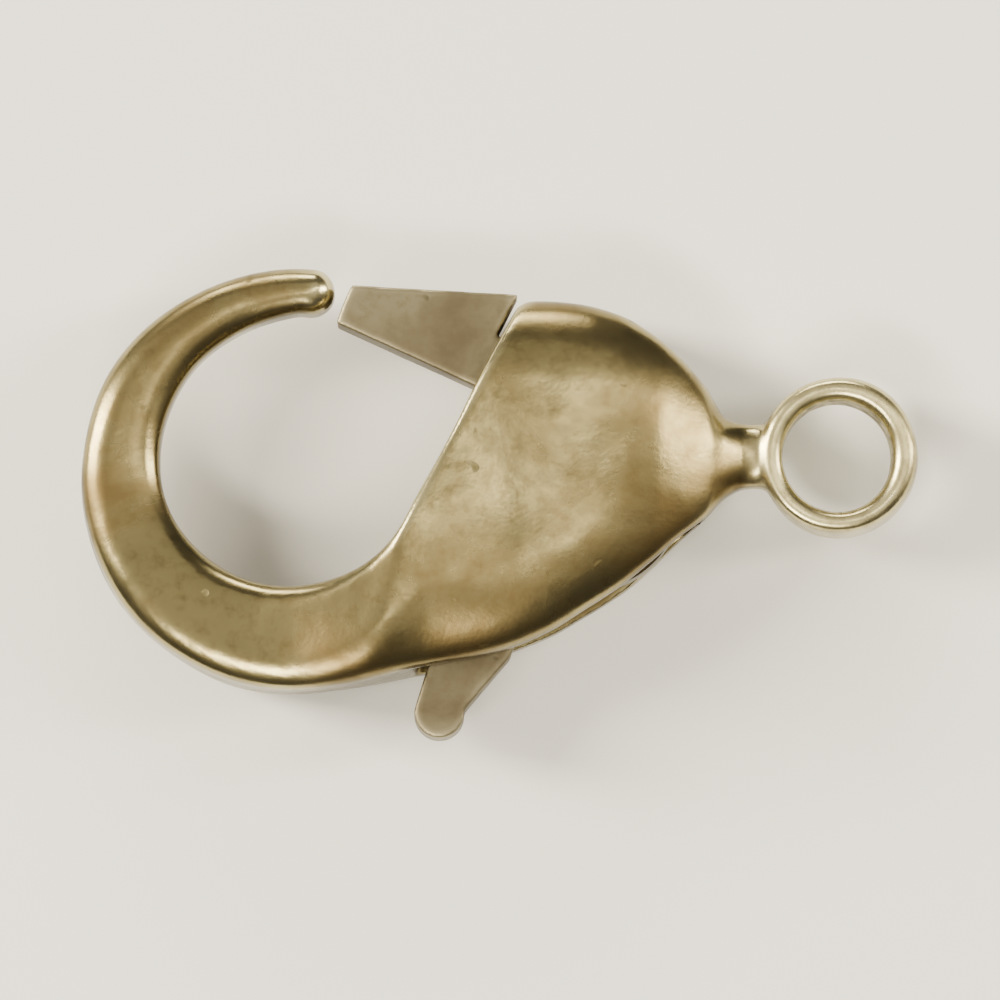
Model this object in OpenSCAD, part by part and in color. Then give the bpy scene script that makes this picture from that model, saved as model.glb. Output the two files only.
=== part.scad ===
// Lobster clasp, cast in metal, with a sprung lever.
// The eye's centre is the origin. The hook points to -X, the lever's gate is on the +Y side,
// the thumb tab is on the -Y side, and the clasp lies flat with its faces towards +Z and -Z.
// A plan place is [along, across]: along runs from the eye to the hook, across runs to the gate.

/* [Eye] */
// Bore of the eye, where a jump ring goes through
eye_bore_d = 1.5; // [1.2:0.05:1.8]
// Wall of the eye's ring
eye_wall = 0.4; // [0.3:0.05:0.5]
// Length of the eye along its bore
eye_len = 1.15; // [1:0.05:1.4]
// Rounding of the eye's rims
eye_rim_r = 0.18; // [0.1:0.01:0.2]
// Width of the neck between the eye and the palm
neck_w = 0.96; // [0.8:0.02:1.1]
// Thickness of the neck
neck_t = 1; // [0.8:0.05:1.1]

/* [Hook] */
// Distance from the eye's centre to the centre of the hook's hole
hook_at = 7.75; // [7.25:0.05:8.5]
// Radius of the hook's hole
hook_r = 1.85; // [1.6:0.05:2]
// Width of the hook's band where it leaves the palm, on the spine side
spine_w = 1.5; // [1.3:0.05:1.7]
// Width of the hook's band at its tip
tip_w = 0.84; // [0.7:0.02:1]
// How far the inner edge opens outwards at the tip
tip_flare = 0.18; // [0:0.02:0.25]
// Radius of the tip's round end, seen from above
tip_round = 0.36; // [0.2:0.02:0.38]
// Thickness of the hook at its far end
hook_t = 1.5; // [1.3:0.05:1.7]
// Thickness of the hook at its tip
tip_t = 1.2; // [1:0.05:1.4]
// How far in from its edges the hook's faces start to round off
hook_round = 0.42; // [0.3:0.02:0.5]
// How far the hook's faces fall at its edges
hook_fall = 0.26; // [0.2:0.02:0.34]

/* [Palm] */
// Height of the palm on the gate side, from the middle line to its shoulder
palm_gate = 2.2; // [2.1:0.05:2.4]
// Where the shoulder's corner is, from the eye's centre
shoulder_at = 4.52; // [4.4:0.02:4.8]
// Radius of the shoulder's corner
shoulder_r = 0.35; // [0.2:0.05:0.45]
// Thickness of the palm at its flat crown
palm_t = 2.6; // [2.4:0.05:2.9]
// Thickness of the palm's edge on the gate side
flank_t = 1.5; // [1.3:0.05:1.7]
// How far in from the gate side the crown starts to fall
flank_round = 1.1; // [0.8:0.05:1.3]
// Thickness of the spine, across the two rims of its slot
rim_t = 1.7; // [1.6:0.02:1.9]
// How far in from the spine the crown starts to fall
spine_round = 1.35; // [1:0.05:1.5]
// Width of the shoulder wall's broken edge
shoulder_edge = 0.1; // [0.05:0.01:0.15]
// Where the slot in the spine ends, from the eye's centre
slot_end = 1.95; // [1.9:0.05:2.1]

/* [Lever] */
// Where the lever's pivot is, from the eye's centre
pivot_at = 3.85; // [3.75:0.02:4]
// How far the pivot is from the middle line, on the gate side
pivot_across = 0.9; // [0.8:0.02:1]
// Thickness of the lever
lever_t = 0.95; // [0.8:0.05:1]
// Radius of the lever's hub
hub_r = 0.85; // [0.75:0.02:0.9]
// Length of the gate, from the pivot to its end
gate_r = 3.42; // [3.3:0.02:3.5]
// How far the gate's outer corner stands above the palm's shoulder
gate_proud = 0.1; // [0:0.02:0.15]
// How far below the pivot the line of the gate's inner face passes
gate_under = 0.49; // [0.4:0.02:0.55]
// Direction of the gate's inner face, in degrees from the middle line
gate_slant = 25.6; // [24:0.2:27]
// Width of the arm from the hub to the tab
arm_w = 1.1; // [0.9:0.05:1.2]
// Direction of the arm, in degrees back from the middle line
arm_turn = 69.7; // [68:0.2:71]
// Distance from the pivot to the centre of the tab's round end
tab_at = 4.9; // [4.7:0.05:5.1]
// Radius of the tab's round end
tab_r = 0.36; // [0.3:0.02:0.42]
// How far the tab's round end leans to the hook
tab_lean_w = 0.12; // [0:0.02:0.18]
// How far the lever opens, in degrees
swing = 26; // [20:1:28]

/* [Rivet and spring] */
// Diameter of the rivet
rivet_d = 0.8; // [0.6:0.05:0.9]
// Thickness of the leaf spring
leaf_t = 0.14; // [0.1:0.01:0.18]
// Width of the leaf spring
leaf_w = 0.7; // [0.6:0.02:0.8]
// How far the leaf bows out between its ends
leaf_bow = 0.5; // [0.4:0.02:0.6]
// Radius of the leaf's curled end
leaf_curl = 0.24; // [0.2:0.01:0.28]

/* [Fits] */
// Room on each side of the lever in the slot
side_gap = 0.075; // [0.05:0.005:0.1]
// Room between the lever's edges and the hollow around it
swing_gap = 0.08; // [0.06:0.01:0.12]
// Gap between the gate's end and the hook's tip
tip_gap = 0.15; // [0.1:0.01:0.2]
// Gap between the gate's heel and the shoulder it stops against
stop_gap = 0.05; // [0.03:0.01:0.08]
// Running room between the lever's bore and the rivet, on the radius
pivot_gap = 0.05; // [0.03:0.005:0.08]
// Gap between the leaf spring and what its ends bear on
leaf_gap = 0.05; // [0.03:0.01:0.08]

/* [Hidden] */
$fn = 48;

// Sections of the palm, from the neck to the root of the hook. The columns are: the place along,
// as a share of the way from the neck's start to the hook's centre; the outline's reach on the gate
// side and on the spine side, and the crown's height, each as a share of the way from the neck's
// half size to the palm's; and the edge's height on the gate side and on the spine side, as a share
// of the flank's and of the rim's.
PALM = [
  [0.000, 0.00, 0.00, 0.00, 0.33, 0.30],
  [0.045, 0.00, 0.00, 0.00, 0.34, 0.31],
  [0.085, 0.03, 0.04, 0.14, 0.46, 0.46],
  [0.130, 0.29, 0.14, 0.40, 0.74, 0.78],
  [0.190, 0.57, 0.25, 0.63, 0.92, 0.95],
  [0.240, 0.74, 0.36, 0.78, 0.98, 1.00],
  [0.310, 0.90, 0.505, 0.91, 1.00, 1.00],
  [0.390, 0.98, 0.628, 0.98, 1.00, 1.00],
  [0.460, 1.00, 0.72, 1.00, 1.00, 1.00],
  [0.600, 1.00, 0.836, 1.00, 1.00, 1.00],
  [0.750, 1.00, 0.911, 1.00, 1.00, 1.00],
  [0.890, 1.00, 0.976, 1.00, 1.00, 1.00],
  [1.000, 1.00, 1.00, 1.00, 1.00, 1.00],
];
AT = 0;
GATE = 1;
SPINE = 2;
CROWN = 3;
GATE_EDGE = 4;
SPINE_EDGE = 5;

// Sections of the hook, from the shoulder wall round to the tip. The columns are: the turn, as a
// share of the whole; the thickness, from 0 for the hook's to 1 for the palm's; and the rounding
// of the edges, from 0 for the palm's to 1 for the hook's.
HOOK = [
  [0.00, 1.00, 0.00],
  [0.12, 0.84, 0.30],
  [0.24, 0.58, 0.65],
  [0.36, 0.30, 0.88],
  [0.48, 0.10, 1.00],
  [0.60, 0.00, 1.00],
  [1.00, 0.00, 1.00],
];
TURN = 0;
THICK = 1;
ROUND = 2;

PALM_STEPS = 2;
WALL_STEPS = 7;
CORNER_STEPS = 4;
ROOT_STEPS = 8;
BOW_STEPS = 22;
END_STEPS = 5;
EDGE_POINTS = 3;
FLANK_POINTS = 3;
CROWN_POINTS = 2;
SPINE_POINTS = 4;
ARC_POINTS = 16;
// How far into the eye's wall the neck runs, as a share of the wall.
NECK_SINK = 0.6;
// The most of a section's width that one rounded side takes up.
ROUND_MOST = 0.45;
// The least that lies between a section's broken edge and its crown, and between the crown and the
// outer side, in widths of that edge.
EDGE_ROOM = 1.2;
CROWN_ROOM = 0.2;
// Direction from the hole's centre where the hook's inner edge starts to open outwards.
FLARE_FROM = 50;
// How much of its thickness the tip's round end loses.
END_FALL = 0.55;
// Direction from the pivot where the hollow's round end runs into its floor.
HOLLOW_TO = 205;
// Where the corner's and the wall's sections end on the spine, as shares of the way to the hook.
OUT_CORNER = 0.04;
OUT_ROOT = 0.62;
// Depth that the hook's hole is cleared out to its full radius.
LAND = 0.04;
// Depth of the slot at its end near the neck, as a share of the palm's height on the gate side.
SLOT_FLOOR = 0.05;
// Height of the hub's flat top as a share of its radius.
HUB_TOP = 0.92;
// Length over which the arm narrows to the tab's round end, in radii of that end, and how far round
// the end goes on the hook's side.
TAB_TAPER = 3;
TAB_WRAP = 115;
// Where the leaf bears on the arm, as a share of the way to the tab; how near its seat is to the
// spine, as a share; and how far its end curls round and runs on into the leaf, in degrees.
LEAF_REACH = 0.52;
LEAF_DEPTH = 0.82;
LEAF_ROLL = 150;
LEAF_JOIN = 10;
// How far a cut runs past what it cuts, as a multiple.
PAST = 2;

// Plain helpers on numbers and plan places.
function mix(a, b, t) = a + (b - a) * t;
function held(x, low, high) = min(max(x, low), high);
function unit(a) = [cos(a), sin(a)];
function angle_of(v) = atan2(v[1], v[0]);
function at(p, z = 0) = [-p[0], p[1], z];
function quarter(k, n) = 1 - cos(90 * k / n);
function fall(x) = 1 - sqrt(1 - pow(held(x, 0, 1), 2));
function span(last) = [for (i = [0 : last]) i];

// A column of a table at a given place of its first column, on a smooth curve through the rows.
function row_before(rows, x, i = 0) =
  i >= len(rows) - 2 || rows[i + 1][0] > x ? i : row_before(rows, x, i + 1);
function rise(rows, i, column) =
  (rows[i + 1][column] - rows[i][column]) / (rows[i + 1][0] - rows[i][0]);
function slope(rows, i, column) =
  i == 0 || i == len(rows) - 1 ? 0 :
  let (back = rise(rows, i - 1, column), on = rise(rows, i, column))
  back * on > 0 ? 2 * back * on / (back + on) : 0;
function smooth(rows, x, column) =
  let (
    i = row_before(rows, x),
    step = rows[i + 1][0] - rows[i][0],
    t = held((x - rows[i][0]) / step, 0, 1),
    a = rows[i][column],
    b = rows[i + 1][column],
    m = slope(rows, i, column) * step,
    n = slope(rows, i + 1, column) * step
  )
  a + t * (m + t * (3 * (b - a) - 2 * m - n + t * (2 * (a - b) + m + n)));

// The angle at a where a circle of radius ra about a meets one of radius rb about b.
function meeting(a, ra, b, rb) =
  let (d = norm(b - a))
  acos(held((ra * ra + d * d - rb * rb) / (2 * ra * d), -1, 1));

// Plan of the hook: two circles, the outer one set off towards the spine.
eye_r = eye_bore_d / 2 + eye_wall;
neck_at = eye_bore_d / 2 + eye_wall * NECK_SINK;
outer_r = hook_r + (spine_w + tip_w) / 2;
set_off = (spine_w - tip_w) / 2;
hook_c = [hook_at, 0];
outer_c = [hook_at, -set_off];
rail_r = hook_r - LAND;
tip_r = rail_r + LAND + tip_flare;
pivot = [pivot_at, pivot_across];
end_round = min(tip_round, ROUND_MOST * tip_w);
end_r = gate_r + tip_gap + end_round;
tip_in_a = angle_of(pivot - hook_c) - meeting(hook_c, tip_r, pivot, end_r);
tip_out_a = angle_of(pivot - outer_c) - meeting(outer_c, outer_r, pivot, end_r);

// The shoulder wall runs from the corner to the hook's hole, which it meets without a kink.
corner = [shoulder_at, palm_gate];
to_hook = hook_c - corner;
wall_a = angle_of(to_hook) - asin(rail_r / norm(to_hook));
wall_len = sqrt(pow(norm(to_hook), 2) - rail_r * rail_r);
wall_end = corner + unit(wall_a) * wall_len;
root_a = wall_a - 90;
corner_cut = shoulder_r * tan(-wall_a / 2);
corner_c = corner + [-corner_cut, -shoulder_r];
wall_top = corner + unit(wall_a) * corner_cut;

function palm_share(along) = (along - neck_at) / (hook_at - neck_at);
function spine_y(along) =
  -mix(neck_w / 2, outer_r + set_off, smooth(PALM, palm_share(along), SPINE));
function gate_y(along) = mix(neck_w / 2, palm_gate, smooth(PALM, palm_share(along), GATE));
function crown_z(along) = mix(neck_t / 2, palm_t / 2, smooth(PALM, palm_share(along), CROWN));
function gate_z(along) = flank_t / 2 * smooth(PALM, palm_share(along), GATE_EDGE);
function rim_z(along) = rim_t / 2 * smooth(PALM, palm_share(along), SPINE_EDGE);

// A section is [inner place, outer place, crown height, edge width, edge fall, flank width,
// flank fall, flank's start before the inner place, outer width, outer fall].
function palm_section(inner, out_at, edge) =
  let (
    outer = [out_at, spine_y(out_at)],
    w = norm(outer - inner),
    lead = max(gate_y(inner[0]) - inner[1], 0),
    crown = crown_z(inner[0])
  )
  [
    inner, outer, crown,
    shoulder_edge, edge * shoulder_edge,
    min(flank_round, ROUND_MOST * (w + lead)), crown - min(gate_z(inner[0]), crown), lead,
    min(spine_round, ROUND_MOST * w), crown - min(rim_z(out_at), crown)
  ];
function hook_section(turn, inner, outer, tip_share) =
  let (
    w = norm(outer - inner),
    rounded = smooth(HOOK, turn, ROUND),
    own_t = mix(hook_t, tip_t, tip_share),
    crown = mix(own_t, palm_t, smooth(HOOK, turn, THICK)) / 2,
    rim_fall = crown - min(rim_t / 2, crown),
    narrow = min(hook_round, ROUND_MOST * w),
    edge = mix(shoulder_edge, narrow, rounded)
  )
  [
    inner, outer, crown,
    edge, mix(shoulder_edge, hook_fall, rounded), edge, 0, 0,
    mix(min(spine_round, ROUND_MOST * w), narrow, rounded), mix(rim_fall, hook_fall, rounded)
  ];

// Where the sections' outer ends run along the spine, from the corner to under the hook.
out_corner = mix(corner_c[0], hook_at, OUT_CORNER);
out_root = mix(corner_c[0], hook_at, OUT_ROOT);

palm_stops = [
  for (i = span(len(PALM) - 2)) for (k = span(PALM_STEPS - 1))
    neck_at + mix(PALM[i][AT], PALM[i + 1][AT], k / PALM_STEPS) * (hook_at - neck_at)
];
palm_part = [
  for (s = palm_stops)
    if (s < corner_c[0] - shoulder_r / 2) palm_section([s, gate_y(s)], s, 0)
];
corner_part = [
  for (k = span(CORNER_STEPS - 1))
    palm_section(
      corner_c + unit(90 + wall_a * k / CORNER_STEPS) * shoulder_r,
      mix(corner_c[0], out_corner, k / CORNER_STEPS),
      k / CORNER_STEPS
    )
];
wall_part = [
  for (k = span(WALL_STEPS - 1))
    palm_section(
      mix(wall_top, wall_end, k / WALL_STEPS),
      mix(out_corner, out_root, k / WALL_STEPS),
      1
    )
];

whole_turn = tip_in_a - (root_a - 360 * floor((root_a + 270) / 360));
root_turn = (-90 - (tip_in_a - whole_turn)) / whole_turn;
function flare(a) = pow(held((a - FLARE_FROM) / (tip_in_a - FLARE_FROM), 0, 1), 2);
function rail(a) = hook_c + unit(a) * mix(rail_r, tip_r, flare(a));
root_part = [
  for (k = span(ROOT_STEPS - 1))
    let (
      t = k / ROOT_STEPS,
      turn = root_turn * t,
      along = mix(out_root, hook_at, t)
    )
    hook_section(turn, rail(tip_in_a - whole_turn * (1 - turn)), [along, spine_y(along)], 0)
];
bow_part = [
  for (k = span(BOW_STEPS))
    let (
      t = k / BOW_STEPS,
      turn = mix(root_turn, 1, t),
      out_a = mix(-90, tip_out_a, t)
    )
    hook_section(turn, rail(mix(-90, tip_in_a, t)), outer_c + unit(out_a) * outer_r, t)
];
sections = concat(palm_part, corner_part, wall_part, root_part, bow_part);

// Half of a section's outline, from its inner edge to its outer edge, as [share across, height].
function stops(e, w) =
  let (flank_end = held(e[5] - e[7], e[3] * EDGE_ROOM, w - e[8] - e[3] * CROWN_ROOM))
  concat(
    [for (k = span(EDGE_POINTS - 1)) e[3] * quarter(k, EDGE_POINTS)],
    [for (k = span(FLANK_POINTS - 1)) mix(e[3], flank_end, quarter(k, FLANK_POINTS))],
    [for (k = span(CROWN_POINTS - 1)) mix(flank_end, w - e[8], k / CROWN_POINTS)],
    [for (k = span(SPINE_POINTS)) w - e[8] * quarter(SPINE_POINTS - k, SPINE_POINTS)]
  );
function height(e, w, u) =
  e[2] - e[4] * fall(1 - u / e[3]) - e[6] * fall(1 - (u + e[7]) / e[5]) - e[9] * fall(1 - (w - u) / e[8]);

// A section's closed loop. For the tip's end, inset draws it in from both sides, thin lowers it by a
// share of its height and push moves it on.
function loop(e, inset = 0, thin = 0, push = 0) =
  let (
    w = norm(e[1] - e[0]),
    across = (e[1] - e[0]) / w,
    onward = [across[1], -across[0]],
    start = e[0] + across * inset - onward * push,
    half = [
      for (u = stops(e, w))
        [start + across * u * (1 - 2 * inset / w), height(e, w, u) * (1 - thin)]
    ],
    n = len(half) - 1
  )
  concat(
    [for (p = half) at(p[0], p[1])],
    [for (i = [n : -1 : 0]) at(half[i][0], -half[i][1])]
  );

last = sections[len(sections) - 1];
tip_end = [
  for (k = [1 : END_STEPS])
    let (drawn = quarter(k, END_STEPS + 1), on = sin(90 * k / (END_STEPS + 1)))
    loop(last, end_round * drawn, END_FALL * drawn, end_round * on)
];
loops = concat([for (e = sections) loop(e)], tip_end);

// A closed skin over equal loops of points.
module skin(rings) {
  n = len(rings[0]);
  m = len(rings) - 1;
  points = [for (ring = rings) for (p = ring) p];
  sides = [
    for (i = span(m - 1)) for (j = span(n - 1))
      let (a = i * n + j, b = i * n + (j + 1) % n)
      for (t = [[a, b, b + n], [a, b + n, a + n]]) t
  ];
  start = [for (j = [n - 1 : -1 : 0]) j];
  finish = [for (j = span(n - 1)) m * n + j];
  polyhedron(points, concat(sides, [start], [finish]));
}

// Plan of the lever at rest.
hub_top = HUB_TOP * hub_r;
arm_a = -arm_turn;
arm_dir = unit(arm_a);
arm_side = unit(arm_a + 90);
gate_out_a = angle_of(outer_c + unit(tip_out_a) * outer_r - pivot);
gate_in_a = angle_of(rail(tip_in_a) - pivot);
wall_out = unit(wall_a + 90);
function by_wall(across, off) =
  let (p = corner + wall_out * off)
  p + unit(wall_a) * ((across - p[1]) / sin(wall_a));
function arc(c, r, from, to, n) = [for (k = span(n)) c + unit(mix(from, to, k / n)) * r];
function on_hub(line_a, off, r) = line_a + asin(off / r);
under_end_a = on_hub(gate_slant, -gate_under, hub_r);
arm_half = arm_w / 2;
tab_c = pivot + arm_dir * tab_at + arm_side * tab_lean_w;
tab_root = pivot + arm_dir * (tab_at - TAB_TAPER * tab_r);
lever_plan = concat(
  arc(pivot, gate_r, gate_in_a, gate_out_a, 2),
  [by_wall(palm_gate + gate_proud, stop_gap), by_wall(pivot[1] + hub_top, stop_gap)],
  arc(pivot, hub_r, asin(hub_top / hub_r), 180, ARC_POINTS),
  arc(pivot, hub_r, 180, 360 + on_hub(arm_a, -arm_half, hub_r), ARC_POINTS / 2),
  [tab_root - arm_side * arm_half],
  arc(tab_c, tab_r, arm_a - TAB_WRAP, arm_a + 90, ARC_POINTS),
  [tab_root + arm_side * arm_half],
  arc(pivot, hub_r, on_hub(arm_a, arm_half, hub_r), under_end_a, 3)
);

// Plan of the hollow: the room that the lever needs from shut to open, and the leaf spring's.
slot_half = lever_t / 2 + side_gap;
room_r = hub_r + swing_gap;
slot_floor = [slot_end, -SLOT_FLOOR * palm_gate];
open_dir = unit(gate_slant - swing);
open_side = unit(gate_slant - swing - 90);
under_open = pivot + open_side * (gate_under + swing_gap);
arm_room = arm_half + swing_gap;
arm_out = pivot + arm_side * arm_room;
meet = let (
    v = under_open - arm_out,
    d = open_dir,
    e = arm_dir
  )
  under_open + d * ((e[0] * v[1] - e[1] * v[0]) / (d[0] * e[1] - d[1] * e[0]));
hollow_plan = concat(
  [meet, under_open + open_dir * (hook_at - pivot_at)],
  [[hook_at, pivot[1] + room_r]],
  arc(pivot, room_r, 90, HOLLOW_TO, ARC_POINTS),
  [slot_floor, [slot_end, -hook_r * PAST]],
  [arm_out + arm_dir * tab_at]
);

module eye() {
  rim = min(eye_rim_r, ROUND_MOST * eye_wall);
  rotate_extrude()
    translate([eye_bore_d / 2, -eye_len / 2]) {
      translate([rim, 0]) square([eye_wall - 2 * rim, eye_len]);
      translate([0, rim]) square([eye_wall, eye_len - 2 * rim]);
      for (x = [rim, eye_wall - rim], y = [rim, eye_len - rim])
        translate([x, y]) circle(rim);
    }
}

// The hollow has flat sides and a rounded end near the neck.
module hollow() {
  deep = palm_gate + hook_r * PAST;
  intersection() {
    translate([0, 0, -slot_half])
      linear_extrude(2 * slot_half) polygon([for (p = hollow_plan) [-p[0], p[1]]]);
    union() {
      translate([-slot_end - slot_half, 0, 0])
        rotate([90, 0, 0]) cylinder(h = 2 * deep, r = slot_half, center = true);
      translate([-hook_at * PAST, -deep, -slot_half])
        cube([hook_at * PAST - slot_end - slot_half, 2 * deep, 2 * slot_half]);
    }
  }
}

module at_pivot() {
  translate(at(pivot)) children();
}

module shell() {
  skin(loops);
}

module body() {
  color([0.6, 0.5, 0.32])
    difference() {
      union() {
        shell();
        eye();
      }
      hollow();
      translate(at(hook_c)) cylinder(h = palm_t * PAST, r = hook_r, center = true);
      at_pivot() cylinder(h = palm_t * PAST, d = rivet_d, center = true);
    }
}

module lever() {
  color([0.56, 0.53, 0.44])
    difference() {
      translate([0, 0, -lever_t / 2])
        linear_extrude(lever_t) polygon([for (p = lever_plan) [-p[0], p[1]]]);
      at_pivot() cylinder(h = lever_t * PAST, r = rivet_d / 2 + pivot_gap, center = true);
    }
}

// The rivet is ground flush with both faces of the palm.
module rivet() {
  color([0.6, 0.5, 0.32])
    intersection() {
      at_pivot() cylinder(h = palm_t * PAST, d = rivet_d, center = true);
      shell();
    }
}

// The leaf bows out from its seat in the slot's end to the lever's arm, and curls in at the seat.
leaf_tip = pivot + arm_dir * (LEAF_REACH * tab_at) - arm_side * (arm_half + leaf_gap + leaf_t / 2);
leaf_seat = [slot_end + leaf_gap + leaf_curl + leaf_t / 2, spine_y(slot_end) * LEAF_DEPTH];
chord = leaf_tip - leaf_seat;
leaf_r = (pow(norm(chord) / 2, 2) + leaf_bow * leaf_bow) / (2 * leaf_bow);
leaf_in = [-chord[1], chord[0]] / norm(chord);
leaf_c = (leaf_tip + leaf_seat) / 2 + leaf_in * (leaf_r - leaf_bow);
seat_a = angle_of(leaf_seat - leaf_c);
leaf_turn = 2 * asin(norm(chord) / (2 * leaf_r));
curl_c = leaf_seat + unit(seat_a + 180) * leaf_curl;

// A bent strip about a plan place, over a range of plan angles.
module strip(c, r, from, turn) {
  translate(at(c))
    rotate([0, 0, 180 - from - turn])
      rotate_extrude(angle = turn)
        translate([r - leaf_t / 2, -leaf_w / 2]) square([leaf_t, leaf_w]);
}

module spring() {
  color([0.5, 0.46, 0.38]) {
    strip(leaf_c, leaf_r, seat_a, leaf_turn);
    strip(curl_c, leaf_curl, seat_a - LEAF_ROLL, LEAF_ROLL + LEAF_JOIN);
  }
}

body();
lever();
rivet();
spring();
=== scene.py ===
import math

import bmesh
import bpy
import numpy as np
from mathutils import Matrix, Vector, noise
from mathutils.bvhtree import BVHTree


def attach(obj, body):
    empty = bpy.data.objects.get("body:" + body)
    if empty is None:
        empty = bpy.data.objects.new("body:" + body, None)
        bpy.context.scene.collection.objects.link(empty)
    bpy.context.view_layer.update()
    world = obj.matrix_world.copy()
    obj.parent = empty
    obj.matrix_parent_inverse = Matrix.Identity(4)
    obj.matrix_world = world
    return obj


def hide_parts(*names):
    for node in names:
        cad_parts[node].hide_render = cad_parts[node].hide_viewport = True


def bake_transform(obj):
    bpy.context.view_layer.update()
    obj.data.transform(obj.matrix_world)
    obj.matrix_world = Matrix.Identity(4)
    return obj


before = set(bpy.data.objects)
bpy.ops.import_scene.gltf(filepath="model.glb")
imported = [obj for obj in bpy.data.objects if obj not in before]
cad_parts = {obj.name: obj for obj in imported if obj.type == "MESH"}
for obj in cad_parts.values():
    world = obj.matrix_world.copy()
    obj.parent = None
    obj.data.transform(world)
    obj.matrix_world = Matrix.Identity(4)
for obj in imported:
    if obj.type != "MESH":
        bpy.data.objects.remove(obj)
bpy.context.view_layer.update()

# The body: hook, palm with its two cheeks, neck and eye, cast in one piece of brass. It was
# tumbled until every edge was soft, then bronze plated, darkened and rubbed back, so its faces
# roll gently and the patina stays only where the rubbing missed. Lengths are in millimetres.
MM = 0.001
eye_bore_d, eye_wall, eye_len, eye_rim_r = 1.5, 0.4, 1.15, 0.18
neck_w, neck_t = 0.96, 1.0
hook_at, hook_r, spine_w, tip_w, tip_flare = 7.75, 1.85, 1.5, 0.84, 0.18
hook_t, tip_t, tip_round, hook_round, hook_fall = 1.5, 1.2, 0.36, 0.42, 0.26
palm_gate, shoulder_at, shoulder_r, palm_t = 2.2, 4.52, 0.35, 2.6
flank_t, flank_round, rim_t, spine_round = 1.5, 1.1, 1.7, 1.35
shoulder_edge, slot_end = 0.1, 1.95
pivot = np.array([3.85, 0.9])
lever_t, hub_r, gate_r, gate_proud, gate_under, gate_slant = 0.95, 0.85, 3.42, 0.1, 0.49, 25.6
arm_w, arm_turn, swing = 1.1, 69.7, 26
side_gap, swing_gap, tip_gap, stop_gap = 0.075, 0.08, 0.15, 0.05
# How deep in the eye's wall the neck starts, and the most of a width that one rounding takes.
NECK_SINK, ROUND_MOST = 0.6, 0.45
# Room between a section's edge and its crown, and between the crown and the spine's rounding, in
# widths of that edge.
EDGE_ROOM, CROWN_ROOM = 1.2, 0.2
# Direction in degrees where the hook's hole starts to open, and how much of its thickness the
# tip's round end loses.
FLARE_FROM, END_FALL = 50, 0.55
# Where the corner's and the wall's sections end on the spine, as shares of the way to the hook,
# and how far short of the corner the palm's own sections stop.
OUT_CORNER, OUT_ROOT, CORNER_LEAD = 0.04, 0.62, 0.04

# Sections of the palm: place along, gate side, spine side, crown, gate edge, spine edge, as shares.
PALM = np.array([
    [0.000, 0.00, 0.000, 0.00, 0.33, 0.30],
    [0.045, 0.00, 0.000, 0.00, 0.34, 0.31],
    [0.085, 0.03, 0.040, 0.14, 0.46, 0.46],
    [0.130, 0.29, 0.140, 0.40, 0.74, 0.78],
    [0.190, 0.57, 0.250, 0.63, 0.92, 0.95],
    [0.240, 0.74, 0.360, 0.78, 0.98, 1.00],
    [0.310, 0.90, 0.505, 0.91, 1.00, 1.00],
    [0.390, 0.98, 0.628, 0.98, 1.00, 1.00],
    [0.460, 1.00, 0.720, 1.00, 1.00, 1.00],
    [0.600, 1.00, 0.836, 1.00, 1.00, 1.00],
    [0.750, 1.00, 0.911, 1.00, 1.00, 1.00],
    [0.890, 1.00, 0.976, 1.00, 1.00, 1.00],
    [1.000, 1.00, 1.000, 1.00, 1.00, 1.00],
])
# Sections of the hook: turn, thickness from the hook's to the palm's, rounding of the edges.
HOOK = np.array([
    [0.00, 1.00, 0.00],
    [0.12, 0.84, 0.30],
    [0.24, 0.58, 0.65],
    [0.36, 0.30, 0.88],
    [0.48, 0.10, 1.00],
    [0.60, 0.00, 1.00],
    [1.00, 0.00, 1.00],
])


def mix(a, b, t):
    return a + (b - a) * t


def held(x, low, high):
    return min(max(x, low), high)


def unit(degrees):
    return np.array([math.cos(math.radians(degrees)), math.sin(math.radians(degrees))])


def angle_of(v):
    return math.degrees(math.atan2(v[1], v[0]))


def slope(rows, i, column):
    if i == 0 or i == len(rows) - 1:
        return 0.0
    back = (rows[i][column] - rows[i - 1][column]) / (rows[i][0] - rows[i - 1][0])
    on = (rows[i + 1][column] - rows[i][column]) / (rows[i + 1][0] - rows[i][0])
    return 2 * back * on / (back + on) if back * on > 0 else 0.0


def smooth(rows, x, column):
    i = int(held(np.searchsorted(rows[:, 0], x, side="right") - 1, 0, len(rows) - 2))
    step = rows[i + 1][0] - rows[i][0]
    t = held((x - rows[i][0]) / step, 0, 1)
    a, b = rows[i][column], rows[i + 1][column]
    m, n = slope(rows, i, column) * step, slope(rows, i + 1, column) * step
    return a + t * (m + t * (3 * (b - a) - 2 * m - n + t * (2 * (a - b) + m + n)))


def meeting(a, ra, b, rb):
    d = np.linalg.norm(b - a)
    return math.degrees(math.acos(held((ra * ra + d * d - rb * rb) / (2 * ra * d), -1, 1)))


neck_at = eye_bore_d / 2 + eye_wall * NECK_SINK
outer_r = hook_r + (spine_w + tip_w) / 2
set_off = (spine_w - tip_w) / 2
hook_c = np.array([hook_at, 0.0])
outer_c = np.array([hook_at, -set_off])
tip_r = hook_r + tip_flare
end_r = gate_r + tip_gap + tip_round
tip_in_a = angle_of(pivot - hook_c) - meeting(hook_c, tip_r, pivot, end_r)
tip_out_a = angle_of(pivot - outer_c) - meeting(outer_c, outer_r, pivot, end_r)
corner = np.array([shoulder_at, palm_gate])
to_hook = hook_c - corner
wall_a = angle_of(to_hook) - math.degrees(math.asin(hook_r / np.linalg.norm(to_hook)))
wall_end = corner + unit(wall_a) * math.sqrt(to_hook @ to_hook - hook_r ** 2)
root_a = wall_a - 90
corner_cut = shoulder_r * math.tan(math.radians(-wall_a / 2))
corner_c = corner + np.array([-corner_cut, -shoulder_r])
wall_top = corner + unit(wall_a) * corner_cut


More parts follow.
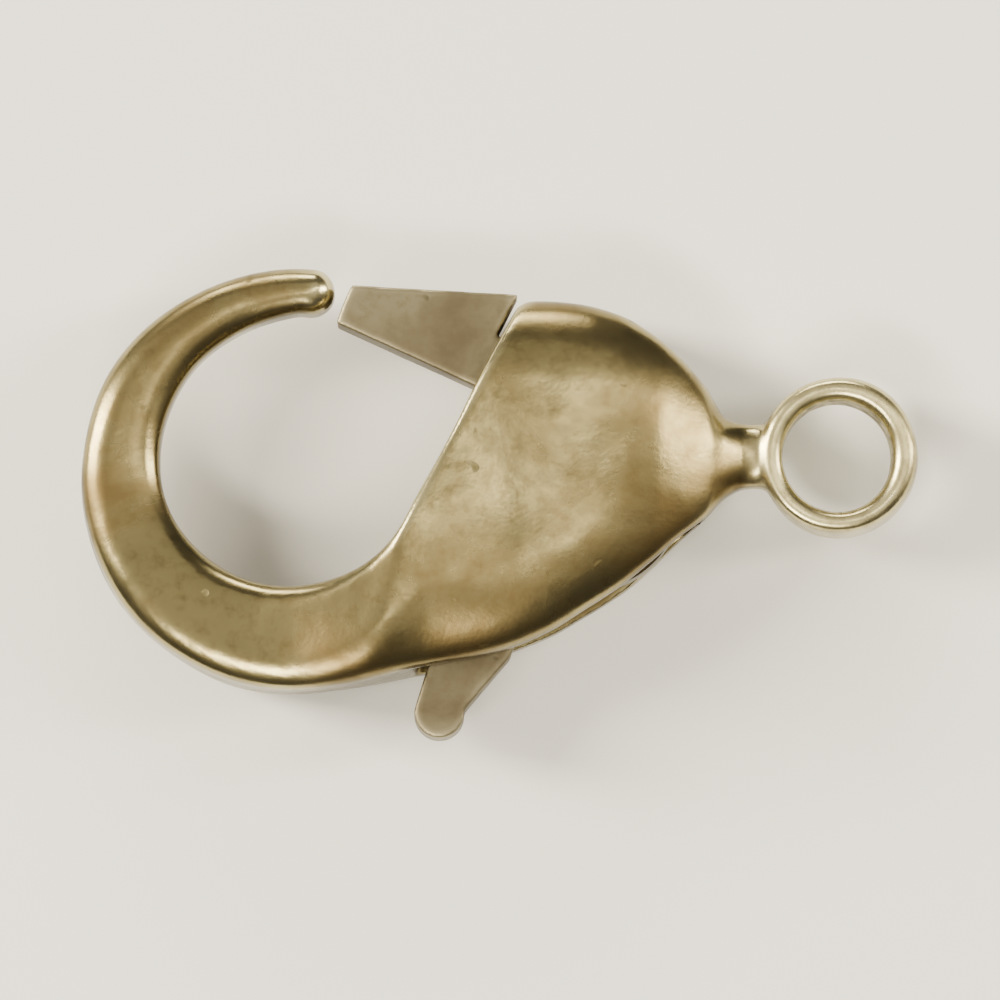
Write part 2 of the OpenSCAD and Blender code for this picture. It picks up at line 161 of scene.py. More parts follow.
def palm_share(along):
    return (along - neck_at) / (hook_at - neck_at)


def spine_y(along):
    return -mix(neck_w / 2, outer_r + set_off, smooth(PALM, palm_share(along), 2))


def gate_y(along):
    return mix(neck_w / 2, palm_gate, smooth(PALM, palm_share(along), 1))


def crown_z(along):
    return mix(neck_t / 2, palm_t / 2, smooth(PALM, palm_share(along), 3))


def palm_section(inner, out_at, edge):
    outer = np.array([out_at, spine_y(out_at)])
    w = np.linalg.norm(outer - inner)
    lead = max(gate_y(inner[0]) - inner[1], 0)
    crown = crown_z(inner[0])
    gate_z = flank_t / 2 * smooth(PALM, palm_share(inner[0]), 4)
    rim_z = rim_t / 2 * smooth(PALM, palm_share(out_at), 5)
    return [
        inner, outer, crown, shoulder_edge, edge * shoulder_edge,
        min(flank_round, ROUND_MOST * (w + lead)), crown - min(gate_z, crown), lead,
        min(spine_round, ROUND_MOST * w), crown - min(rim_z, crown),
    ]


def hook_section(turn, inner, outer, tip_share):
    w = np.linalg.norm(outer - inner)
    rounded = smooth(HOOK, turn, 2)
    crown = mix(mix(hook_t, tip_t, tip_share), palm_t, smooth(HOOK, turn, 1)) / 2
    narrow = min(hook_round, ROUND_MOST * w)
    rim_fall = crown - min(rim_t / 2, crown)
    edge = mix(shoulder_edge, narrow, rounded)
    return [
        inner, outer, crown, edge, mix(shoulder_edge, hook_fall, rounded), edge, 0, 0,
        mix(min(spine_round, ROUND_MOST * w), narrow, rounded), mix(rim_fall, hook_fall, rounded),
    ]


whole_turn = tip_in_a - (root_a - 360 * math.floor((root_a + 270) / 360))
root_turn = (-90 - (tip_in_a - whole_turn)) / whole_turn


def rail(a):
    opened = held((a - FLARE_FROM) / (tip_in_a - FLARE_FROM), 0, 1)
    return hook_c + unit(a) * mix(hook_r, tip_r, opened ** 2)


out_corner = mix(corner_c[0], hook_at, OUT_CORNER)
out_root = mix(corner_c[0], hook_at, OUT_ROOT)
PALM_STEPS, CORNER_STEPS, WALL_STEPS, ROOT_STEPS, BOW_STEPS = 8, 12, 30, 30, 96
sections = []
for i in range(len(PALM) - 1):
    for k in range(PALM_STEPS):
        s = neck_at + mix(PALM[i][0], PALM[i + 1][0], k / PALM_STEPS) * (hook_at - neck_at)
        if s < corner_c[0] - CORNER_LEAD:
            sections.append(palm_section(np.array([s, gate_y(s)]), s, 0))
for k in range(CORNER_STEPS):
    t = k / CORNER_STEPS
    place = corner_c + unit(90 + wall_a * t) * shoulder_r
    sections.append(palm_section(place, mix(corner_c[0], out_corner, t), t))
for k in range(WALL_STEPS):
    t = k / WALL_STEPS
    sections.append(palm_section(mix(wall_top, wall_end, t), mix(out_corner, out_root, t), 1))
for k in range(ROOT_STEPS):
    t = k / ROOT_STEPS
    along = mix(out_root, hook_at, t)
    inner = rail(tip_in_a - whole_turn * (1 - root_turn * t))
    sections.append(hook_section(root_turn * t, inner, np.array([along, spine_y(along)]), 0))
for k in range(BOW_STEPS + 1):
    t = k / BOW_STEPS
    inner = rail(mix(-90, tip_in_a, t))
    outer = outer_c + unit(mix(-90, tip_out_a, t)) * outer_r
    sections.append(hook_section(mix(root_turn, 1, t), inner, outer, t))

EDGE_POINTS, FLANK_POINTS, CROWN_POINTS, SPINE_POINTS, END_STEPS = 7, 10, 8, 12, 10


def fall(x):
    return 1 - math.sqrt(1 - held(x, 0, 1) ** 2)


def quarter(k, n):
    return 1 - math.cos(math.pi / 2 * k / n)


def loop(e, inset=0.0, thin=0.0, push=0.0):
    """Points round a section, drawn in, thinned and pushed on where the tip's end rounds off."""
    inner, outer, crown, edge_w, edge_fall, flank_w, flank_fall, lead, out_w, out_fall = e
    w = np.linalg.norm(outer - inner)
    across = (outer - inner) / w
    onward = np.array([across[1], -across[0]])
    flank_end = held(flank_w - lead, edge_w * EDGE_ROOM, w - out_w - edge_w * CROWN_ROOM)
    stops = [edge_w * quarter(k, EDGE_POINTS) for k in range(EDGE_POINTS)]
    stops += [mix(edge_w, flank_end, quarter(k, FLANK_POINTS)) for k in range(FLANK_POINTS)]
    stops += [mix(flank_end, w - out_w, k / CROWN_POINTS) for k in range(CROWN_POINTS)]
    stops += [w - out_w * quarter(SPINE_POINTS - k, SPINE_POINTS) for k in range(SPINE_POINTS + 1)]
    upper, lower = [], []
    for u in stops:
        z = crown - edge_fall * fall(1 - u / edge_w) - flank_fall * fall(1 - (u + lead) / flank_w)
        z = (z - out_fall * fall(1 - (w - u) / out_w)) * (1 - thin)
        p = inner + across * (inset + u * (1 - 2 * inset / w)) - onward * push
        upper.append((-p[0], p[1], z))
        lower.append((-p[0], p[1], -z))
    return upper + lower[::-1]


def closed_mesh(name, rings):
    """Closed skin over rings of as many points each, with its faces turned outwards."""
    n = len(rings[0])
    faces = []
    for i in range(len(rings) - 1):
        for j in range(n):
            a, b = i * n + j, i * n + (j + 1) % n
            faces.append((a, b, b + n, a + n))
    faces.append(tuple(range(n)))
    faces.append(tuple(range((len(rings) - 1) * n, len(rings) * n)))
    mesh = bpy.data.meshes.new(name)
    mesh.from_pydata([p for ring in rings for p in ring], [], faces)
    bm = bmesh.new()
    bm.from_mesh(mesh)
    bmesh.ops.recalc_face_normals(bm, faces=bm.faces)
    bm.to_mesh(mesh)
    bm.free()
    obj = bpy.data.objects.new(name, mesh)
    bpy.context.scene.collection.objects.link(obj)
    return obj


def finished(obj):
    """Turns what the modifiers give into a plain mesh."""
    depsgraph = bpy.context.evaluated_depsgraph_get()
    mesh = bpy.data.meshes.new_from_object(obj.evaluated_get(depsgraph))
    obj.modifiers.clear()
    obj.data = mesh
    return obj


def cut(obj, tool, operation="DIFFERENCE"):
    mod = obj.modifiers.new("cut", "BOOLEAN")
    mod.operation, mod.solver, mod.object = operation, "EXACT", tool
    finished(obj)
    bpy.data.objects.remove(tool)


def prism(name, outline, z0, z1):
    return closed_mesh(name, [[(-p[0], p[1], z) for p in outline] for z in (z0, z1)])


def arc(c, r, start, end, steps):
    return [c + unit(mix(start, end, k / steps)) * r for k in range(steps + 1)]


def circle(c, r, points):
    return arc(c, r, 0, 360 - 360 / points, points - 1)


rings = [loop(e) for e in sections]
for k in range(1, END_STEPS):
    drawn, on = quarter(k, END_STEPS), math.sin(math.pi / 2 * k / END_STEPS)
    rings.append(loop(sections[-1], tip_round * drawn, END_FALL * drawn, tip_round * on))
body = closed_mesh("body_cast", rings)

# The hollow that the lever works in is cast in from the spine to the shoulder wall. It has a round
# end about the hub and a round end by the neck.
slot_half = lever_t / 2 + side_gap
room_r = hub_r + swing_gap
arm_dir, arm_side = unit(-arm_turn), unit(90 - arm_turn)
open_dir = unit(gate_slant - swing)
under_open = pivot + unit(gate_slant - swing - 90) * (gate_under + swing_gap)
arm_out = pivot + arm_side * (arm_w / 2 + swing_gap)
v = under_open - arm_out
meet = under_open + open_dir * (
    (arm_dir[0] * v[1] - arm_dir[1] * v[0]) / (open_dir[0] * arm_dir[1] - open_dir[1] * arm_dir[0])
)
# A length past every side; where the round end meets the floor, in degrees; and the floor's depth
# by the neck, as a share of the palm's height.
FAR, HOLLOW_TO, SLOT_FLOOR = 12, 205, 0.05
hollow_plan = [meet, under_open + open_dir * FAR / 3, [hook_at, pivot[1] + room_r]]
hollow_plan += arc(pivot, room_r, 90, HOLLOW_TO, 48)
hollow_plan += [[slot_end, -SLOT_FLOOR * palm_gate], [slot_end, -FAR / 3]]
hollow_plan += [arm_out + arm_dir * FAR / 2]
hollow = prism("hollow", [np.array(p, dtype=float) for p in hollow_plan], -slot_half, slot_half)
round_end = [
    (-slot_end - slot_half + slot_half * math.cos(a), slot_half * math.sin(a))
    for a in np.linspace(-math.pi / 2, math.pi / 2, 33)
]
round_end += [(-FAR, slot_half), (-FAR, -slot_half)]
cut(hollow, closed_mesh("round_end", [[(x, y, z) for x, z in round_end] for y in (-FAR, FAR)]),
    "INTERSECT")
cut(body, hollow)

# The eye is a short tube with rolled rims, and the neck runs into its wall.
TURNS, RIM_STEPS = 144, 6
profile = []
for x, y, start in (
    (eye_wall - eye_rim_r, eye_len / 2 - eye_rim_r, 0), (eye_rim_r, eye_len / 2 - eye_rim_r, 90),
    (eye_rim_r, eye_rim_r - eye_len / 2, 180), (eye_wall - eye_rim_r, eye_rim_r - eye_len / 2, 270),
):
    for k in range(RIM_STEPS + 1):
        d = unit(start + 90 * k / RIM_STEPS) * eye_rim_r
        profile.append((eye_bore_d / 2 + x + d[0], y + d[1]))
bm = bmesh.new()
bm.from_mesh(body.data)
grid = [[bm.verts.new((r * math.cos(math.tau * i / TURNS), r * math.sin(math.tau * i / TURNS), z))
         for r, z in profile] for i in range(TURNS)]
for i in range(TURNS):
    for j in range(len(profile)):
        a, b = grid[i], grid[(i + 1) % TURNS]
        k = (j + 1) % len(profile)
        bm.faces.new((a[j], b[j], b[k], a[k]))
bm.to_mesh(body.data)
bm.free()


def tumble(obj, cell, rounds):
    """Rounds a closed casting as tumbling does. It is worked in millimetres."""
    mod = obj.modifiers.new("skin", "REMESH")
    mod.mode, mod.voxel_size = "VOXEL", cell * 1
    mod = obj.modifiers.new("tumble", "SMOOTH")
    mod.factor, mod.iterations = 0.5, rounds
    return finished(obj)


def skin_of(mesh):
    """Places and normals of a mesh's points, as two arrays."""
    co, no = np.empty(len(mesh.vertices) * 3), np.empty(len(mesh.vertices) * 3)
    mesh.vertices.foreach_get("co", co)
    mesh.vertex_normals.foreach_get("vector", no)
    return co.reshape(-1, 3), no.reshape(-1, 3)


def roll_faces(obj, depth):
    """Rolls a casting's faces over 1.5 mm, as hand finishing does. It only takes away."""
    mean_share, rolls_per_mm = 0.6, 0.65
    co, no = skin_of(obj.data)
    taken = [depth * max(mean_share - noise.noise(Vector(p) * rolls_per_mm), 0) for p in co]
    obj.data.vertices.foreach_set("co", (co - no * np.array(taken)[:, None]).ravel())
    obj.data.update()


def add_marks(obj, reach):
    """Marks a casting's points with wear, where they stand out, and shade, where they are hid.

    A ray starts a share of the points' spacing off the skin, and counts for less the longer it is.
    """
    wear_blurs, shade_blurs, lift, far_loss = 8, 3, 0.5, 0.5
    mesh = obj.data
    co, no = skin_of(mesh)
    n = len(co)
    ends = np.empty(len(mesh.edges) * 2, dtype=np.int32)
    mesh.edges.foreach_get("vertices", ends)
    a, b = ends.reshape(-1, 2).T
    links = np.bincount(a, minlength=n) + np.bincount(b, minlength=n)

    def around(values):
        return (np.bincount(a, values[b], n) + np.bincount(b, values[a], n)) / links

    step = np.linalg.norm(co[a] - co[b], axis=1).mean()
    pull = np.stack([around(co[:, k]) for k in range(3)], axis=1) - co
    bend = -2 * (pull * no).sum(axis=1) / step ** 2
    for _ in range(wear_blurs):
        bend = 0.5 * bend + 0.5 * around(bend)
    tree = BVHTree.FromPolygons([Vector(p) for p in co], [tuple(p.vertices) for p in mesh.polygons])
    rays = 20
    golden = math.pi * (3 - math.sqrt(5))
    ball = []
    for k in range(rays):
        z = 1 - 2 * (k + 0.5) / rays
        r = math.sqrt(1 - z * z)
        ball.append(Vector((r * math.cos(golden * k), r * math.sin(golden * k), z)))
    hid = np.zeros(n)
    for i in range(n):
        normal = Vector(no[i])
        start = Vector(co[i]) + normal * (step * lift)
        for d in ball:
            way = (normal * 1.001 + d).normalized()
            hit = tree.ray_cast(start, way, reach)
            if hit[0] is not None:
                hid[i] += 1 - far_loss * hit[3] / reach
    hid /= rays
    for _ in range(shade_blurs):
        hid = 0.5 * hid + 0.5 * around(hid)
    for name, values in (("wear", bend), ("shade", hid)):
        layer = mesh.attributes.new(name, "FLOAT", "POINT")
        layer.data.foreach_set("value", values.astype(np.float32))


def to_metres(obj):
    mesh = obj.data
    co = np.empty(len(mesh.vertices) * 3)
    mesh.vertices.foreach_get("co", co)
    mesh.vertices.foreach_set("co", co * MM)
    mesh.shade_smooth()
    mesh.update()


tumble(body, cell=0.046, rounds=8)
roll_faces(body, depth=0.045)
add_marks(body, reach=1.6)
to_metres(body)


def linear(hex_colour):
    """Colour of an sRGB hex value as Blender's shaders take it."""
    out = []
    for k in (1, 3, 5):
        c = int(hex_colour[k:k + 2], 16) / 255
        out.append(c / 12.92 if c <= 0.04045 else ((c + 0.055) / 1.055) ** 2.4)
    return (*out, 1.0)


def add(tree, kind, links=None, **settings):
    """Adds a node. Links map a socket to a value or to another node's output."""
    node = tree.nodes.new(kind)
    for key, value in settings.items():
        setattr(node, key, value)
    for key, value in (links or {}).items():
        if isinstance(value, bpy.types.NodeSocket):
            tree.links.new(value, node.inputs[key])
        else:
            node.inputs[key].default_value = value
    return node


def ramp(tree, fac, stops):
    node = add(tree, "ShaderNodeValToRGB", {"Fac": fac})
    for k, (place, colour) in enumerate(stops):
        element = node.color_ramp.elements[k] if k < 2 else node.color_ramp.elements.new(place)
        element.position = place
        element.color = linear(colour) if isinstance(colour, str) else (colour, colour, colour, 1)
    return node.outputs["Color"]


# The side colour is painted shade for the sides; the bright edge colour is partly a painted
# highlight.
def bronze(name, face, cloud, wear_and_highlight, side, patina, gloss, dull, dent, soot, keen, rubbed_eye=0.0):
    """Antique bronze plate: wheel-polished faces, brown clouds, sides browned with painted shade,
    edges bright partly with wear and partly with a painted highlight, sooty recesses.
    """
    material = bpy.data.materials.new(name)
    material.use_nodes = True
    tree = material.node_tree
    tree.nodes.clear()
    where = add(tree, "ShaderNodeTexCoord")
    mm = add(tree, "ShaderNodeMapping", {"Vector": where.outputs["Object"],
                                         "Scale": (1000, 1000, 1000)}).outputs[0]
    wear = add(tree, "ShaderNodeAttribute", attribute_name="wear").outputs["Fac"]
    shade = add(tree, "ShaderNodeAttribute", attribute_name="shade").outputs["Fac"]

    # Brown clouds about 2 mm across, with specks of 0.2 mm in them.
    clouds = add(tree, "ShaderNodeTexNoise", {"Vector": mm, "Scale": 0.5, "Detail": 5.0,
                                              "Roughness": 0.55, "Distortion": 0.5}).outputs["Fac"]
    specks = add(tree, "ShaderNodeTexNoise", {"Vector": mm, "Scale": 5.0, "Detail": 5.0,
                                              "Roughness": 0.65}).outputs["Fac"]
    tone = ramp(tree, clouds, [(0.36, cloud), (0.6, face)])
    tone = add(tree, "ShaderNodeMix", {"Factor": ramp(tree, specks, [(0.48, 0.0), (0.75, 0.6)]),
                                       6: tone, 7: linear(cloud)}, data_type="RGBA").outputs[2]
    # Painted shade: the more a side turns away from the two faces, the more of the dark side colour
    # it takes, up to a share set by the clouds and ragged at its edge.
    level = add(tree, "ShaderNodeSeparateXYZ", {"Vector": where.outputs["Normal"]}).outputs["Z"]
    level = add(tree, "ShaderNodeMath", {0: level}, operation="ABSOLUTE").outputs[0]
    ragged = add(tree, "ShaderNodeMapRange", {"Value": specks, "From Min": 0.3, "From Max": 0.7,
                                              "To Min": -0.12, "To Max": 0.12}).outputs[0]
    level = add(tree, "ShaderNodeMath", {0: level, 1: ragged}, operation="ADD").outputs[0]
    most_side_shade = ramp(tree, clouds, [(0.38, 0.9), (0.62, 0.4)])
    painted_side_shade = add(tree, "ShaderNodeMapRange", {"Value": level, "From Min": 0.9, "From Max": 0.3,
                                             "To Max": most_side_shade}).outputs[0]
    tone = add(tree, "ShaderNodeMix", {"Factor": painted_side_shade, 6: tone, 7: linear(side)},
               data_type="RGBA").outputs[2]
    # Edges tighter than a 0.6 mm radius are bright, in patches: partly wear from the
    # wheel and partly a painted highlight.
    edge = add(tree, "ShaderNodeMapRange", {"Value": wear, "From Min": 0.8, "From Max": keen})
    rubbed_and_highlight = add(tree, "ShaderNodeMath", {0: edge.outputs[0],
                                          1: ramp(tree, clouds, [(0.38, 0.25), (0.62, 0.85)])},
                 operation="MULTIPLY").outputs[0]
    tone = add(tree, "ShaderNodeMix", {"Factor": rubbed_and_highlight, 6: tone, 7: linear(wear_and_highlight)},
               data_type="RGBA").outputs[2]
    # Rings and pliers rub the eye, within 1.3 mm of its centre, paler than the rest.
    if rubbed_eye:
        reach = add(tree, "ShaderNodeVectorMath", {0: mm}, operation="LENGTH").outputs["Value"]
        near = add(tree, "ShaderNodeMapRange", {"Value": reach, "From Min": 1.5, "From Max": 1.1,
                                                "To Max": rubbed_eye}).outputs[0]
        patchy = ramp(tree, specks, [(0.35, 0.45), (0.6, 1.0)])
        near = add(tree, "ShaderNodeMath", {0: near, 1: patchy}, operation="MULTIPLY").outputs[0]
        tone = add(tree, "ShaderNodeMix", {"Factor": near, 6: tone, 7: linear(wear_and_highlight)},
                   data_type="RGBA").outputs[2]
    # Soot lies in what is hidden from the wheel.
    hidden = add(tree, "ShaderNodeMath", {0: shade, 1: ragged}, operation="SUBTRACT").outputs[0]
    dark = add(tree, "ShaderNodeMapRange", {"Value": hidden, "From Min": 0.15, "From Max": 0.5,
                                            "To Max": soot}).outputs[0]
    # Casting pits of 0.1 to 0.2 mm hold some too.
    scuffs = add(tree, "ShaderNodeTexNoise", {"Vector": mm, "Scale": 3.4, "Detail": 1.0,
                                              "Roughness": 0.4}).outputs["Fac"]
    pits = ramp(tree, scuffs, [(0.75, 0.0), (0.86, 1.0)])
    pitted = add(tree, "ShaderNodeMath", {0: pits, 1: 0.6}, operation="MULTIPLY").outputs[0]
    dark = add(tree, "ShaderNodeMath", {0: dark, 1: pitted}, operation="MAXIMUM").outputs[0]
    tone = add(tree, "ShaderNodeMix", {"Factor": dark, 6: tone, 7: linear(patina)},
               data_type="RGBA").outputs[2]

    rough = add(tree, "ShaderNodeMapRange", {"Value": clouds, "From Min": 0.35, "From Max": 0.65,
                                             "To Min": dull, "To Max": gloss}).outputs[0]
    rough = add(tree, "ShaderNodeMix", {0: dark, 2: rough, 3: 0.72}).outputs[0]

    # The tumbled face has shallow dents of 0.5 to 1 mm and a grain of 0.06 mm. Depths are in
    # millimetres, and the pits go in.
    dents = add(tree, "ShaderNodeTexNoise",
                {"Vector": mm, "Scale": 1.4, "Detail": 1.5}).outputs["Fac"]
    grain = add(tree, "ShaderNodeTexNoise",
                {"Vector": mm, "Scale": 16.0, "Detail": 3.0}).outputs["Fac"]
    normal = None
    for height, depth in ((dents, dent), (grain, 0.0014), (pits, -0.005)):
        links = {"Height": height, "Strength": 1.0, "Distance": abs(depth) * MM}
        if normal:
            links["Normal"] = normal
        normal = add(tree, "ShaderNodeBump", links, invert=depth < 0).outputs[0]
    shader = add(tree, "ShaderNodeBsdfPrincipled", {"Base Color": tone, "Metallic": 1.0,
                                                    "Roughness": rough, "Normal": normal})
    add(tree, "ShaderNodeOutputMaterial", {"Surface": shader.outputs[0]})
    return material


# The plate is satin where the wheel reached and sooty brown in its hollows, its sides browned with
# painted shade and its edges bright partly with a painted highlight; it mirrors only softly.
body.data.materials.clear()
body.data.materials.append(bronze(
    "antique_bronze_plate_tumbled", face="#948963", cloud="#6E5E3E", wear_and_highlight="#D8CEA2",
    side="#4D4231", patina="#1C130B", gloss=0.2, dull=0.34, dent=0.016, soot=0.96,
    keen=2.8, rubbed_eye=0.85))
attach(body, "clasp")
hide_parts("body")

# The lever: a flat brass casting that turns on the rivet. Its gate shuts the hook's mouth, its hub
# sits between the cheeks and its arm ends in the thumb tab. The plate on it was hardly rubbed, so
# it is greyer and more matt than the body.
tab_at, tab_r, tab_lean, rivet_d, pivot_gap = 4.9, 0.36, 0.12, 0.8, 0.05
# Height of the hub's flat top as a share of its radius, the length over which the arm narrows to
# the tab's round end, in radii of that end, and how far round it goes, in degrees.
HUB_TOP, TAB_TAPER, TAB_WRAP = 0.92, 3, 115
gate_out_a = angle_of(outer_c + unit(tip_out_a) * outer_r - pivot)
gate_in_a = angle_of(rail(tip_in_a) - pivot)
wall_out = unit(wall_a + 90)


def by_wall(across, off):
    p = corner + wall_out * off
    return p + unit(wall_a) * ((across - p[1]) / math.sin(math.radians(wall_a)))


def on_hub(line_a, off):
    return line_a + math.degrees(math.asin(off / hub_r))


hub_top = HUB_TOP * hub_r
tab_c = pivot + arm_dir * tab_at + arm_side * tab_lean
tab_root = pivot + arm_dir * (tab_at - TAB_TAPER * tab_r)
lever_plan = arc(pivot, gate_r, gate_in_a, gate_out_a, 8)
lever_plan += [by_wall(palm_gate + gate_proud, stop_gap), by_wall(pivot[1] + hub_top, stop_gap)]
lever_plan += arc(pivot, hub_r, math.degrees(math.asin(hub_top / hub_r)), 180, 32)[1:]
lever_plan += arc(pivot, hub_r, 180, 360 + on_hub(-arm_turn, -arm_w / 2), 24)[1:]
lever_plan += [tab_root - arm_side * arm_w / 2]
lever_plan += arc(tab_c, tab_r, -arm_turn - TAB_WRAP, -arm_turn + 90, 32)
lever_plan += [tab_root + arm_side * arm_w / 2]
lever_plan += arc(pivot, hub_r, on_hub(-arm_turn, arm_w / 2), on_hub(gate_slant, -gate_under), 10)
lever = prism("lever_cast", lever_plan, -lever_t / 2, lever_t / 2)
bore = prism("bore", circle(pivot, rivet_d / 2 + pivot_gap, 36), -FAR, FAR)
cut(lever, bore)
tumble(lever, cell=0.035, rounds=4)
roll_faces(lever, depth=0.015)
add_marks(lever, reach=1.0)
to_metres(lever)
lever.data.materials.clear()
# Its side colour is painted shade on its sides, and its edge colour is partly a painted highlight.
lever.data.materials.append(bronze(
    "antique_bronze_plate_matt", face="#7B745F", cloud="#5D5443", wear_and_highlight="#A39A80",
    side="#4A4132", patina="#1F1810", gloss=0.42, dull=0.52, dent=0.006, soot=0.9, keen=6))
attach(lever, "lever")
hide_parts("lever")

# The rivet: a brass pin with broken ends, driven through both cheeks, ground flush and plated with
# the body, so that only its run across the slot can be seen.
pin_sunk, pin_break = 0.05, 0.08
pin_half = palm_t / 2 - pin_sunk
# The pin's end that a ring of points is at, and how far its edge is broken there.
pin_profile = [(-1, 1.0), (-1, 0.4), (-1, 0.0), (1, 0.0), (1, 0.4), (1, 1.0)]
rivet = closed_mesh("rivet_pin", [
    [(-q[0], q[1], end * (pin_half - pin_break * fall(1 - in_by)))
     for q in circle(pivot, rivet_d / 2 - pin_break * in_by, 64)]
    for end, in_by in pin_profile
])
to_metres(rivet)
rivet.data.materials.clear()
# Its side colour is painted shade on the pin's sides.
rivet.data.materials.append(bronze(
    "antique_bronze_plate_pin", face="#8C734B", cloud="#6E5636", wear_and_highlight="#A8925F",
    side="#5E4626", patina="#1E130A", gloss=0.35, dull=0.45, dent=0.002, soot=0.9, keen=4))
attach(rivet, "clasp")
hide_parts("rivet")

# The leaf spring: a strip of rolled spring steel, bronzed with the rest. It is bowed between its
# curled seat by the neck and the lever's arm. The strip is drawn along its bend, as it was rolled.
leaf_t, leaf_w, leaf_bow, leaf_curl, leaf_gap, leaf_edge = 0.14, 0.7, 0.5, 0.24, 0.05, 0.03
# Where the leaf bears on the arm, as a share of the way to the tab, how near its seat is to the
# spine, as a share, and how far its end curls round, in degrees.
LEAF_REACH, LEAF_DEPTH, LEAF_ROLL = 0.52, 0.82, 150
leaf_tip = pivot + arm_dir * (LEAF_REACH * tab_at) - arm_side * (arm_w / 2 + leaf_gap + leaf_t / 2)
leaf_seat = np.array([slot_end + leaf_gap + leaf_curl + leaf_t / 2,
                      spine_y(slot_end) * LEAF_DEPTH])
chord = leaf_tip - leaf_seat
half_chord = np.linalg.norm(chord) / 2
leaf_r = (half_chord ** 2 + leaf_bow ** 2) / (2 * leaf_bow)
leaf_in = np.array([-chord[1], chord[0]]) / np.linalg.norm(chord)
leaf_c = (leaf_tip + leaf_seat) / 2 + leaf_in * (leaf_r - leaf_bow)
seat_a = angle_of(leaf_seat - leaf_c)
leaf_turn = 2 * math.degrees(math.asin(half_chord / leaf_r))
curl_c = leaf_seat + unit(seat_a + 180) * leaf_curl
path = arc(curl_c, leaf_curl, seat_a - LEAF_ROLL, seat_a, 20)
path += arc(leaf_c, leaf_r, seat_a, seat_a + leaf_turn, 40)[1:]
mesh = bpy.data.meshes.new("leaf_path")
mesh.from_pydata([(-p[0] * MM, p[1] * MM, 0) for p in path],
                 [(k, k + 1) for k in range(len(path) - 1)], [])
leaf = bpy.data.objects.new("leaf_spring", mesh)
bpy.context.scene.collection.objects.link(leaf)
# Its side colour is painted shade on the strip's sides.
leaf_steel = bronze(
    "spring_steel_bronzed", face="#665B45", cloud="#43392A", wear_and_highlight="#8E7F5C",
    side="#4E4430", patina="#1E130A", gloss=0.22, dull=0.36, dent=0.002, soot=0.9, keen=4)

strip = bpy.data.node_groups.new("rolled_strip", "GeometryNodeTree")
strip.interface.new_socket("Geometry", in_out="INPUT", socket_type="NodeSocketGeometry")
for label in ("Thickness", "Width", "Rounding"):
    strip.interface.new_socket(label, in_out="INPUT", socket_type="NodeSocketFloat")
strip.interface.new_socket("Geometry", in_out="OUTPUT", socket_type="NodeSocketGeometry")
given = add(strip, "NodeGroupInput")
curve = add(strip, "GeometryNodeMeshToCurve", {"Mesh": given.outputs["Geometry"]})
across = add(strip, "GeometryNodeCurvePrimitiveQuadrilateral",
             {"Width": given.outputs["Thickness"], "Height": given.outputs["Width"]})
rounded = add(strip, "GeometryNodeFilletCurve", {"Curve": across.outputs[0], "Count": 4,
                                                 "Radius": given.outputs["Rounding"]}, mode="POLY")
swept = add(strip, "GeometryNodeCurveToMesh", {"Curve": curve.outputs[0], "Fill Caps": True,
                                               "Profile Curve": rounded.outputs[0]})
whole = add(strip, "GeometryNodeRealizeInstances", {"Geometry": swept.outputs[0]})
dressed = add(strip, "GeometryNodeSetMaterial",
              {"Geometry": whole.outputs[0], "Material": leaf_steel})
add(strip, "NodeGroupOutput", {"Geometry": dressed.outputs[0]})
mod = leaf.modifiers.new("strip", "NODES")
mod.node_group = strip
sizes = {"Thickness": leaf_t * MM, "Width": leaf_w * MM, "Rounding": leaf_edge * MM}
for item in strip.interface.items_tree:
    if item.in_out == "INPUT" and item.name in sizes:
        mod[item.identifier] = sizes[item.name]
finished(leaf)
leaf.data.shade_flat()
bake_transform(leaf)
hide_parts("spring")

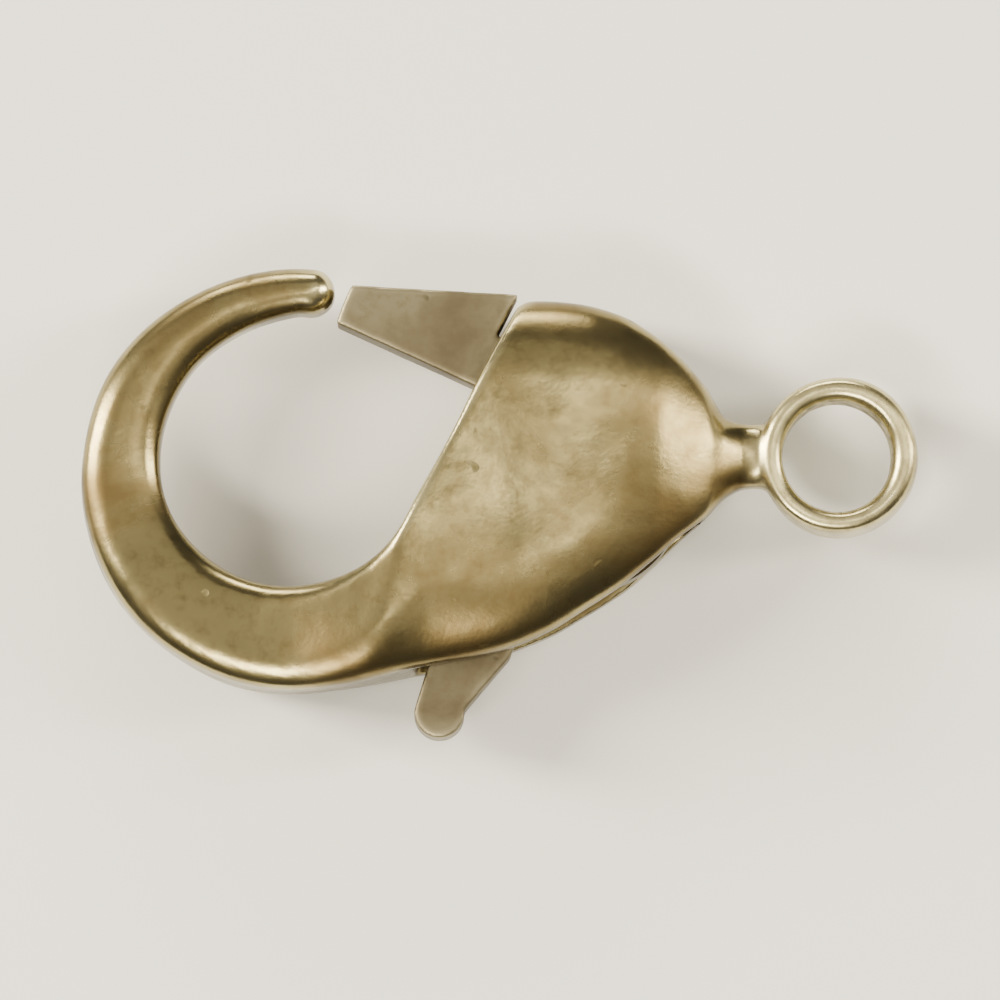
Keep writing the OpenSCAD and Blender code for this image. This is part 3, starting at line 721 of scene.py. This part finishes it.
# The floor: a sheet of pale matt card, a hundredth of a millimetre under the clasp's palm. It is
# 1.2 m square, so that its edge stays out of the picture.
half_side, floor_gap = 0.6, 0.01
mesh = bpy.data.meshes.new("floor")
low = -(palm_t / 2 + floor_gap) * MM
mesh.from_pydata([(x * half_side, y * half_side, low)
                  for x, y in ((-1, -1), (1, -1), (1, 1), (-1, 1))], [], [(0, 1, 2, 3)])
floor = bpy.data.objects.new("floor", mesh)
bpy.context.scene.collection.objects.link(floor)
card = bpy.data.materials.new("pale_matt_card")
card.use_nodes = True
shader = card.node_tree.nodes["Principled BSDF"]
shader.inputs["Base Color"].default_value = linear("#E8E8E9")
shader.inputs["Roughness"].default_value = 0.85
floor.data.materials.append(card)

# Soft light: a tall box on either side, which the slopes of the faces pick up, weaker ones in
# front and behind, and a wide dim one above with a narrow strip under it, in a dim room.
world = bpy.data.worlds.new("room")
bpy.context.scene.world = world
world.use_nodes = True
background = world.node_tree.nodes["Background"]
background.inputs["Color"].default_value = linear("#B9B4AC")
background.inputs["Strength"].default_value = 0.24
middle = Vector((-4.8 * MM, -0.6 * MM, 0))
for name, place, width, depth, watts in (
    ("left_box", (-0.22, 0.06, 0.15), 0.07, 0.18, 1.9),
    ("right_box", (0.22, 0.04, 0.14), 0.045, 0.18, 0.7),
    ("front_box", (-0.07, -0.13, 0.24), 0.14, 0.05, 0.7),
    ("back_box", (-0.03, 0.24, 0.10), 0.16, 0.06, 0.5),
    ("top_box", (0.0, 0.04, 0.30), 0.34, 0.30, 0.22),
    ("top_strip", (0.07, 0.03, 0.28), 0.02, 0.20, 0.12),
):
    light = bpy.data.lights.new(name, "AREA")
    light.shape, light.size, light.size_y, light.energy = "RECTANGLE", width, depth, watts
    light.color = linear("#FFF5DA")[:3]
    lamp = bpy.data.objects.new(name, light)
    lamp.location = Vector(place) + middle
    lamp.rotation_euler = (-Vector(place)).to_track_quat("-Z", "Y").to_euler()
    bpy.context.scene.collection.objects.link(lamp)

# The camera looks nearly straight down, as the photograph does on a clasp that lies flat.
elevation, far, across_view, sensor = 86, 0.25, 14.2 * MM, 36
camera = bpy.data.cameras.new("camera")
camera.lens, camera.sensor_width = sensor * far / across_view, sensor
camera.clip_start = 0.01
eye = bpy.data.objects.new("camera", camera)
towards = Vector((0, -math.cos(math.radians(elevation)), math.sin(math.radians(elevation))))
eye.location = middle + towards * far
eye.rotation_euler = towards.to_track_quat("Z", "Y").to_euler()
bpy.context.scene.collection.objects.link(eye)
bpy.context.scene.camera = eye
